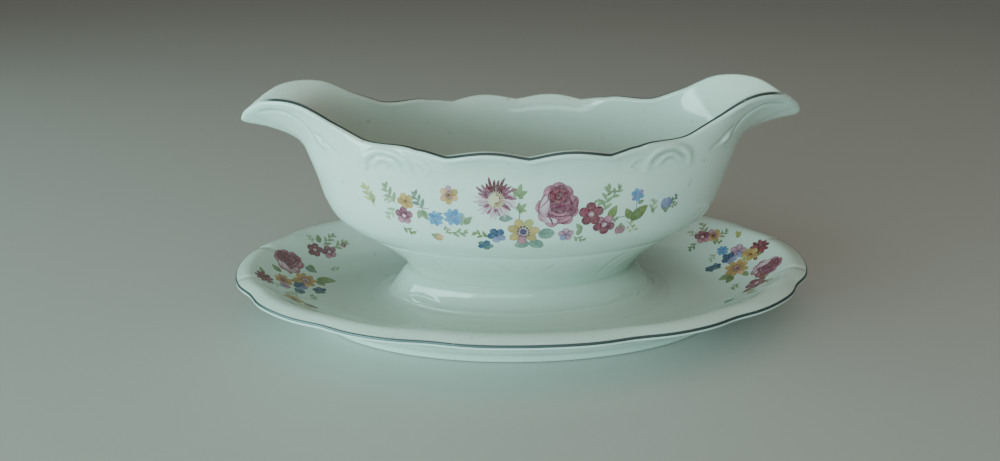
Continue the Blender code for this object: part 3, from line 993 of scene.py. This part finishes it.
def gloss(tree, shader):
    """The fired surface: glossy, with the slow waves and fine orange peel of a dipped glaze."""
    tree.links.new(ramp(tree, noise(tree, 120), 0.3, 0.7, 0.05, 0.11), shader.inputs["Roughness"])
    shader.inputs["IOR"].default_value = 1.52
    wave = tree.nodes.new("ShaderNodeBump")
    wave.inputs["Strength"].default_value = 0.35
    wave.inputs["Distance"].default_value = 0.0006
    tree.links.new(noise(tree, 70, 1.0), wave.inputs["Height"])
    peel = tree.nodes.new("ShaderNodeBump")
    peel.inputs["Strength"].default_value = 0.1
    peel.inputs["Distance"].default_value = 0.0001
    tree.links.new(noise(tree, 700, 1.0), peel.inputs["Height"])
    tree.links.new(wave.outputs["Normal"], peel.inputs["Normal"])
    tree.links.new(peel.outputs["Normal"], shader.inputs["Normal"])


def clay_tone(tree):
    """Off-white glaze, a little uneven, with a few specks."""
    uneven = mix(tree, ramp(tree, noise(tree, 22), 0.3, 0.7, 0, 1), GLAZE_COLOUR,
                 [c * s for c, s in zip(GLAZE_COLOUR, (0.96, 0.965, 0.95))])
    speck = ramp(tree, noise(tree, 420, 0.0), 0.81, 0.84, 0, 0.3)
    return mix(tree, speck, uneven, SPECK_COLOUR)


def glaze_material():
    material, tree, shader = new_material("white_glaze")
    # The paint attribute mixes in the darker colour: pooled glaze and painted shade.
    pool_and_shade = tree.nodes.new("ShaderNodeMath")
    pool_and_shade.operation = "MULTIPLY"
    pool_and_shade.inputs[1].default_value = POOL_AND_SHADE_SHARE
    tree.links.new(paint(tree), pool_and_shade.inputs[0])
    colour = mix(tree, pool_and_shade.outputs[0], clay_tone(tree), POOL_AND_SHADE_COLOUR)
    tree.links.new(colour, shader.inputs["Base Color"])
    gloss(tree, shader)
    return material


def ink_material():
    """Fired enamel, a little thin and patchy, so that the glaze shows through."""
    material, tree, shader = new_material("printed_enamel")
    thin = ramp(tree, noise(tree, 1100, 3.0), 0.35, 0.7, 0.0, 0.15)
    tree.links.new(mix(tree, thin, paint(tree), GLAZE_COLOUR), shader.inputs["Base Color"])
    gloss(tree, shader)
    return material


def platinum_material():
    material, tree, shader = new_material("worn_platinum")
    gone = ramp(tree, noise(tree, 500, 3.0), 0.66, 0.76, 0, 0.6)
    worn = mix(tree, 1.0, gone, paint(tree), "LIGHTEN")
    colour = mix(tree, worn, PLATINUM_COLOUR, GLAZE_COLOUR)
    tree.links.new(colour, shader.inputs["Base Color"])
    tree.links.new(ramp(tree, worn, 0, 1, 0.6, 0), shader.inputs["Metallic"])
    shader.inputs["Roughness"].default_value = 0.35
    return material


# ---------------------------------------------------------------------------
# Studio
# ---------------------------------------------------------------------------

CAMERA = (-16.2, -294.1, 157.7)
CAMERA_YAW, CAMERA_PITCH, CAMERA_ROLL = radians(-1.4), radians(22.6), radians(-0.46)
LENS, SENSOR = 28.08, 36.0
FLOOR_SIZE, FLOOR_HEIGHT, FLOOR_COLOUR = 8.0, -0.0002, (0.52, 0.51, 0.49, 1)
WORLD_COLOUR, WORLD_STRENGTH = (0.90, 0.92, 0.80, 1), 0.16

# Soft lights that face the boat: name, place and size in metres, power in watts, and colour.
LIT = (0, 0, 0.05)
LIGHTS = [
    ("window", (-0.446, -0.772, 0.2), (1.3, 0.4), 5.6, (0.60, 1.0, 0.99)),
    ("side_window", (-0.772, -0.446, 0.16), (1.1, 0.3), 9.4, (0.58, 1.0, 0.94)),
    ("upper", (0.02, -0.35, 0.84), (1.2, 1.2), 2.6, (1.0, 0.90, 0.76)),
]


def make_camera():
    data = bpy.data.cameras.new("camera")
    data.lens = LENS
    data.sensor_width = SENSOR
    data.clip_start = 0.01
    camera = bpy.data.objects.new("camera", data)
    camera.matrix_world = (
        Matrix.Translation(Vector(CAMERA) * MM)
        @ Matrix.Rotation(CAMERA_YAW, 4, "Z")
        @ Matrix.Rotation(pi / 2 - CAMERA_PITCH, 4, "X")
        @ Matrix.Rotation(CAMERA_ROLL, 4, "Z")
    )
    bpy.context.scene.collection.objects.link(camera)
    bpy.context.scene.camera = camera


def make_light(name, place, size, power, colour):
    data = bpy.data.lights.new(name, "AREA")
    data.shape = "RECTANGLE"
    data.size, data.size_y = size
    data.energy = power
    data.color = colour
    light = bpy.data.objects.new(name, data)
    light.location = place
    light.rotation_euler = (Vector(LIT) - Vector(place)).to_track_quat("-Z", "Y").to_euler()
    bpy.context.scene.collection.objects.link(light)


def make_studio():
    bpy.ops.mesh.primitive_plane_add(size=FLOOR_SIZE, location=(0, 0, FLOOR_HEIGHT))
    floor = bpy.context.object
    floor.name = "floor"
    material, _, shader = new_material("pale_floor")
    shader.inputs["Base Color"].default_value = FLOOR_COLOUR
    shader.inputs["Roughness"].default_value = 0.6
    floor.data.materials.append(material)

    world = bpy.data.worlds.new("studio")
    world.use_nodes = True
    background = world.node_tree.nodes["Background"]
    background.inputs["Color"].default_value = WORLD_COLOUR
    background.inputs["Strength"].default_value = WORLD_STRENGTH
    bpy.context.scene.world = world

    for light in LIGHTS:
        make_light(*light)


glaze = glaze_material()
platinum = platinum_material()
enamel = ink_material()
boat_tree = make_boat()
plate_tree = make_underplate()
make_fillet()
make_print("print_front", "transfer_front", boat_tree, BOAT_SPRAY, BACKWARD)
make_print("print_back", "transfer_back", boat_tree, BOAT_SPRAY, BACKWARD, turned=True)
# The left spray is paled as painted light, for the brighter light on the plate's left.
make_print("print_left", "transfer_left", plate_tree, LEFT_SPRAY, DOWNWARD, fade=0.08)
make_print("print_right", "transfer_right", plate_tree, RIGHT_SPRAY, DOWNWARD)
make_camera()
make_studio()
